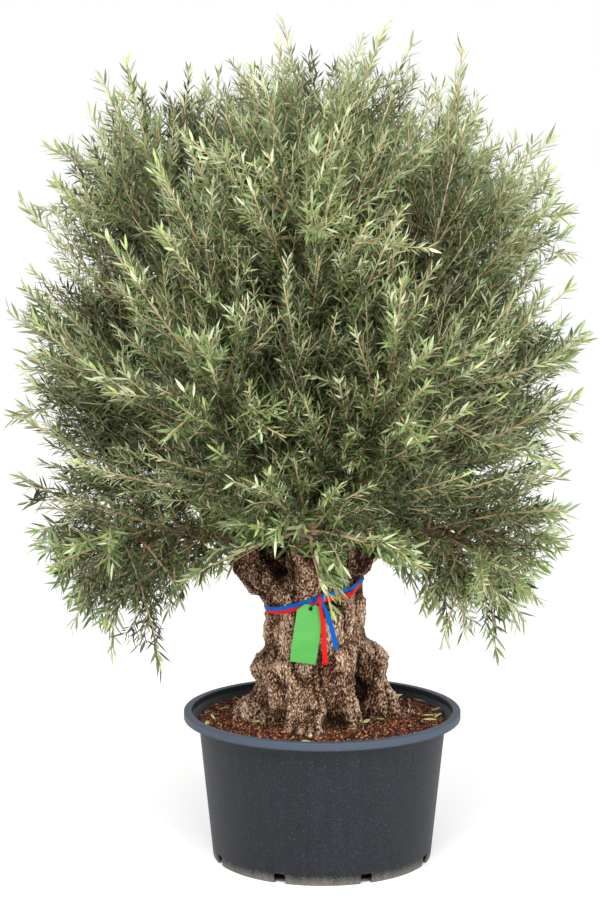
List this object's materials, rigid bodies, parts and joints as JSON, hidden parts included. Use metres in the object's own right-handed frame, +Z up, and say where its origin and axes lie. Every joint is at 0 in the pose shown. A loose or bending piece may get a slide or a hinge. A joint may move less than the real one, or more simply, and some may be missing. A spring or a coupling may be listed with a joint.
{
  "type": "potted olive tree",
  "caption": "Old olive tree with a thick gnarled trunk and a broad dense crown of narrow grey-green leaves, in a low round tapering nursery pot, with a ribbon and a bare tag at its waist",
  "frame": {"origin": "the middle of the pot's flat underside, where it stands", "axes": "+Z is up, along the trunk; the side that the picture shows faces -Y, and +X is to its right"},
  "size_m": [1.6113, 1.4769, 2.3883],
  "materials": {
    "bark": "rough flecked bark",
    "leaves": "grey-green satin leaves, silvery below",
    "pot": "satin moulded slate-grey plastic",
    "soil": "coarse reddish-brown bark soil",
    "ribbon_blue": "smooth woven ribbon",
    "ribbon_red": "smooth woven ribbon",
    "tag": "smooth bare plastic card",
    "string": "twisted thin string"
  },
  "bodies": {
    "root": {"bough_back_left": "bark", "bough_back_right": "bark", "bough_front_left": "bark", "bough_front_right": "bark", "bough_left": "bark", "bough_low_back": "bark", "bough_low_front": "bark", "bough_low_left": "bark", "bough_low_right": "bark", "bough_right": "bark", "bough_top": "bark", "bough_top_back": "bark", "bough_top_front": "bark", "bough_top_left": "bark", "bough_top_right": "bark", "foliage_back_left": "leaves", "foliage_back_right": "leaves", "foliage_front_left": "leaves", "foliage_front_right": "leaves", "foliage_left": "leaves", "foliage_low_back": "leaves", "foliage_low_front": "leaves", "foliage_low_left": "leaves", "foliage_low_right": "leaves", "foliage_right": "leaves", "foliage_top": "leaves", "foliage_top_back": "leaves", "foliage_top_front": "leaves", "foliage_top_left": "leaves", "foliage_top_right": "leaves", "pot": "pot", "ribbon_blue": "ribbon_blue", "ribbon_knot": "ribbon_blue", "ribbon_red": "ribbon_red", "ribbon_tail_blue": "ribbon_blue", "ribbon_tail_red": "ribbon_red", "soil": "soil", "tag": "tag", "tag_string": "string", "trunk": "bark"}
  },
  "joints": []
}
